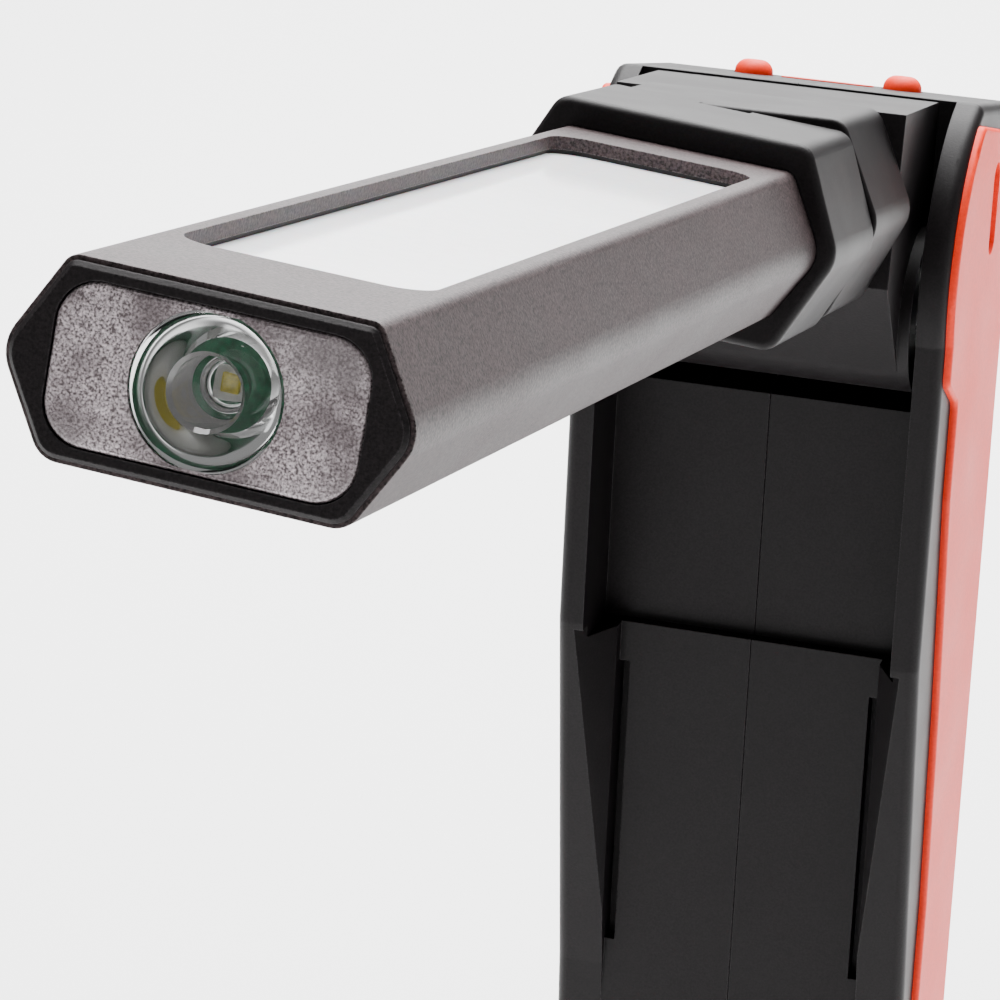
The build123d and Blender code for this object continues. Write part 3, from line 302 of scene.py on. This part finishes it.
lens_back, lens_front = along_head("lens_block")
lens_width, lens_height, lens_corner = 0.0291, 0.0148, 0.0040
spot_radius = 0.0071
hole_radius = spot_radius + 0.00006
corner_steps = 8
lens_rim_round = 0.0005
hole_segments = 72
on_face = 1e-6
off_face = 1e-5
wings = bmesh.new()
outline = []
for side_x, side_y, start in ((1, 1, 0), (-1, 1, 90), (-1, -1, 180), (1, -1, 270)):
    for step in range(corner_steps + 1):
        angle = radians(start + 90 * step / corner_steps)
        outline.append(wings.verts.new((
            side_x * (lens_width / 2 - lens_corner) + lens_corner * cos(angle),
            side_y * (lens_height / 2 - lens_corner) + lens_corner * sin(angle), lens_front,
        )))
outer = [wings.edges.new((a, b)) for a, b in zip(outline, outline[1:] + outline[:1])]
hole = bmesh.ops.create_circle(wings, radius=hole_radius, segments=hole_segments)["verts"]
bmesh.ops.translate(wings, verts=hole, vec=(0, 0, lens_front))
inner = list({edge for vert in hole for edge in vert.link_edges})
bmesh.ops.bridge_loops(wings, edges=outer + inner)
front_faces = list(wings.faces)
swept = bmesh.ops.extrude_face_region(wings, geom=front_faces, use_keep_orig=True)
back_verts = [item for item in swept["geom"] if isinstance(item, bmesh.types.BMVert)]
bmesh.ops.translate(wings, verts=back_verts, vec=(0, 0, lens_back - lens_front))
rim = [
    edge for edge in wings.edges
    if all(v in outline and abs(v.co.z - lens_front) < on_face for v in edge.verts)
    and any(abs(face.calc_center_median().z - lens_front) > off_face for face in edge.link_faces)
]
bmesh.ops.bevel(
    wings, geom=rim, offset=lens_rim_round, segments=3, profile=0.5, affect="EDGES", material=-1,
)
finished(wings, "lens_wings", stippled, "head", ("lens_block",), head_place)

# ---------------------------------------------------------------- spot lens, cup and LED
# A clear collimator with a deep well in front and a hollow for the LED behind. It sits in
# a thin white cup over a white LED chip with a yellow middle, on a small green board.
clear, clear_tree, clear_shader, clear_place = new_material("clear_acrylic")
clear_shader.inputs["Base Color"].default_value = (0.98, 0.985, 0.98, 1)
clear_shader.inputs["Transmission Weight"].default_value = 1.0
clear_shader.inputs["IOR"].default_value = 1.49
ripple = clear_tree.nodes.new("ShaderNodeTexNoise")
ripple.inputs["Scale"].default_value = 1 / 0.004
clear_tree.links.new(clear_place, ripple.inputs["Vector"])
haze = clear_tree.nodes.new("ShaderNodeMapRange")
haze.inputs["To Min"].default_value = 0.0
haze.inputs["To Max"].default_value = 0.07
clear_tree.links.new(ripple.outputs["Fac"], haze.inputs["Value"])
clear_tree.links.new(haze.outputs["Result"], clear_shader.inputs["Roughness"])


def turned(profile, name, material, body, replaced=(), steps=96):
    """A turned piece on the head's axis: `profile` is (radius, reach) from end to end."""
    bm = bmesh.new()
    points = [bm.verts.new((radius, 0, reach)) for radius, reach in profile]
    edges = [bm.edges.new(pair) for pair in zip(points, points[1:])]
    bmesh.ops.spin(
        bm, geom=points + edges, cent=(0, 0, 0), axis=(0, 0, 1), angle=2 * pi, steps=steps,
        use_merge=True,
    )
    return finished(bm, name, material, body, replaced, head_place)


lens_deep = lens_front - lens_back
neck_radius, flank_bulge = 0.0042, 0.00075
flank_steps = 14
flank_share = 0.88         # of the lens's depth, up to its straight front band
flank = []
for step in range(flank_steps + 1):
    share = step / flank_steps
    flank.append((
        neck_radius + (spot_radius - neck_radius) * share + flank_bulge * sin(pi * share),
        lens_back + flank_share * lens_deep * share,
    ))
well_radius, well_floor, well_round, well_dome = 0.0032, lens_front - 0.0044, 0.0004, 0.0005
hollow_radius, hollow_top = 0.0024, lens_back + 0.0026
rim_round = 0.0002
collimator = [
    (0, hollow_top),
    (hollow_radius * 0.5, hollow_top - 0.0001),
    (hollow_radius * 0.85, hollow_top - 0.0004),
    (hollow_radius, hollow_top - 0.0010), (hollow_radius, lens_back), *flank,
    (spot_radius, lens_front - rim_round), (spot_radius - rim_round, lens_front),
    (well_radius + well_round, lens_front), (well_radius, lens_front - well_round),
    (well_radius - 0.0001, well_floor + well_round), (well_radius - well_round, well_floor),
    (well_radius * 0.4, well_floor + 0.8 * well_dome), (0, well_floor + well_dome),
]
turned(collimator, "spot_collimator", clear, "head", ("spot_lens",))

cup_white = grained("white_cup", (0.72, 0.70, 0.70), 0.05, 0.0006, 0.00001, 0.3)
cup_gap, cup_wall = 0.00010, 0.00012
cup_inside = [(radius + cup_gap, reach) for radius, reach in flank[1:-3]]
cup_outside = [(radius + cup_wall, reach) for radius, reach in reversed(cup_inside)]
turned(cup_inside + cup_outside + cup_inside[:1], "spot_cup", cup_white, "head")

chip_white = grained("white_chip", (0.78, 0.78, 0.74), 0.04, 0.0008, 0.00001, 0.4)
phosphor = grained("yellow_phosphor", (0.85, 0.70, 0.05), 0.12, 0.0003, 0.00002, 0.45)
chip_back, chip_front = along_head("spot_led")
chip_size, chip_height, chip_round = 0.0034, 0.0009, 0.0002
phosphor_size, phosphor_round, phosphor_inset = 0.0017, 0.00015, 0.0002
phosphor_start = 0.9       # of the chip's height


def chip(name, width, low, high, edge, material, replaced=()):
    """A square block on the head's axis with rounded front edges."""
    bm = bmesh.new()
    bmesh.ops.create_cube(bm, size=1)
    bmesh.ops.scale(bm, vec=(width, width, high - low), verts=bm.verts)
    bmesh.ops.translate(bm, vec=(0, 0, (low + high) / 2), verts=bm.verts)
    upper = [
        e for e in bm.edges
        if all(v.co.z > low + on_face for v in e.verts) or e.verts[0].co.z != e.verts[1].co.z
    ]
    bmesh.ops.bevel(
        bm, geom=upper, offset=edge, segments=3, profile=0.5, affect="EDGES", material=-1,
    )
    return finished(bm, name, material, "head", replaced, head_place)


chip_top = chip_back + chip_height
phosphor_back = chip_back + chip_height * phosphor_start
phosphor_front = chip_front - phosphor_inset
chip("led_chip", chip_size, chip_back, chip_top, chip_round, chip_white, ("spot_led",))
chip("led_phosphor", phosphor_size, phosphor_back, phosphor_front, phosphor_round, phosphor)

# ---------------------------------------------------------------- boards and the LED strip
# The boards are glass fibre under a glossy green solder mask. The window's LEDs lie in one
# long strip under a yellow phosphor gel.
mask_green = grained("green_solder_mask", (0.015, 0.16, 0.07), 0.3, 0.0008, 0.00002, 0.3)
dress(mask_green, "spot_board", "main_board", "switch_board")
dress(phosphor, "cob_strip")

# ---------------------------------------------------------------- window and its diffuser
# A glossy opal panel lies under the window on a thin black rubber gasket, over the
# aluminium board of the LED strip and its carrier. The socket's flap is the same rubber.
opal = grained("opal_panel", (0.83, 0.82, 0.84), 0.02, 0.002, 0.000002, 0.12, patch=0.03)
opal_shader = opal.node_tree.nodes["Principled BSDF"]
opal_shader.inputs["Subsurface Weight"].default_value = 0.3
opal_shader.inputs["Subsurface Scale"].default_value = 0.002
dress(opal, "diffuser")
soft_black = grained("black_rubber", (0.018, 0.017, 0.017), 0.2, 0.0006, 0.00003, 0.7)
dress(soft_black, "window_gasket", "socket_flap")
bare_aluminium = grained(
    "bare_aluminium", (0.6, 0.6, 0.6), 0.08, 0.0008, 0.00002, 0.35, metallic=1.0,
)
dress(bare_aluminium, "spot_heatsink", "board_carrier", "cob_board")

# ---------------------------------------------------------------- collar, hinge block, shells
# Glass-filled nylon, moulded black in a finely spark-eroded tool: the collar that the head
# is screwed in, the block it swivels on, the two halves of the handle and the base cap.
nylon = grained(
    "spark_eroded_nylon", (0.0046, 0.0034, 0.0039), 0.4, 0.0003, 0.00002, 0.46,
    worn=(0.035, 0.031, 0.033), gloss=0.15,
)
dress(nylon, "head_collar", "hinge_block", "left_shell", "right_shell", "base_cap")

# ---------------------------------------------------------------- grips, buttons and strip
# Soft orange rubber, moulded to a satin finish, set in shallow beds in the shells.
orange = grained("orange_rubber", (0.8, 0.024, 0.0), 0.06, 0.0006, 0.00002, 0.5, gloss=0.22)
dress(orange, "left_grip", "right_grip", "button_left", "button_right", "button_strip")

# ---------------------------------------------------------------- steel pieces
# Turned, bent and pressed parts in bright zinc: the spindle, pins, washers, hook, magnet
# cup and the cell's contacts. The socket's shell and the magnet have the same bright skin.
zinc = grained("bright_zinc", (0.55, 0.55, 0.54), 0.1, 0.001, 0.00001, 0.28, metallic=1.0)
dress(
    zinc, "swivel_spindle", "swivel_washer", "swivel_retainer", "swivel_stop_pin", "hinge_pin",
    "hinge_nut", "hinge_washers", "magnet_cup", "hook", "cell_contacts", "charge_socket",
    "base_magnet",
)

# ---------------------------------------------------------------- screws and switches
# Small steel screws, blackened and a little worn, hold the collar and the shells. The two
# switches under the buttons are the same dull black.
oxide = grained("black_oxide", (0.03, 0.03, 0.03), 0.2, 0.0008, 0.00002, 0.4, metallic=0.6)
dress(oxide, "collar_screws", "shell_screws", "tact_switches")

# ---------------------------------------------------------------- cell and its pads
# The cell wears a shrunk blue plastic sleeve. Two grey foam blocks, cut round to the cell,
# fill the width between it and the shells.
sleeve = grained("cell_sleeve", (0.03, 0.12, 0.3), 0.1, 0.003, 0.00001, 0.3)
dress(sleeve, "battery_cell")
foam = grained("grey_foam", (0.08, 0.08, 0.08), 0.4, 0.0009, 0.0002, 0.9)
dress(foam, "cell_pads")

# ---------------------------------------------------------------- leads
# Leads in red insulation: two run through the hollow spindle to the head's boards, and
# four lie inside the handle.
insulation = grained("red_insulation", (0.4, 0.02, 0.015), 0.1, 0.001, 0.00001, 0.45)
dress(insulation, "head_wires", "handle_wires")
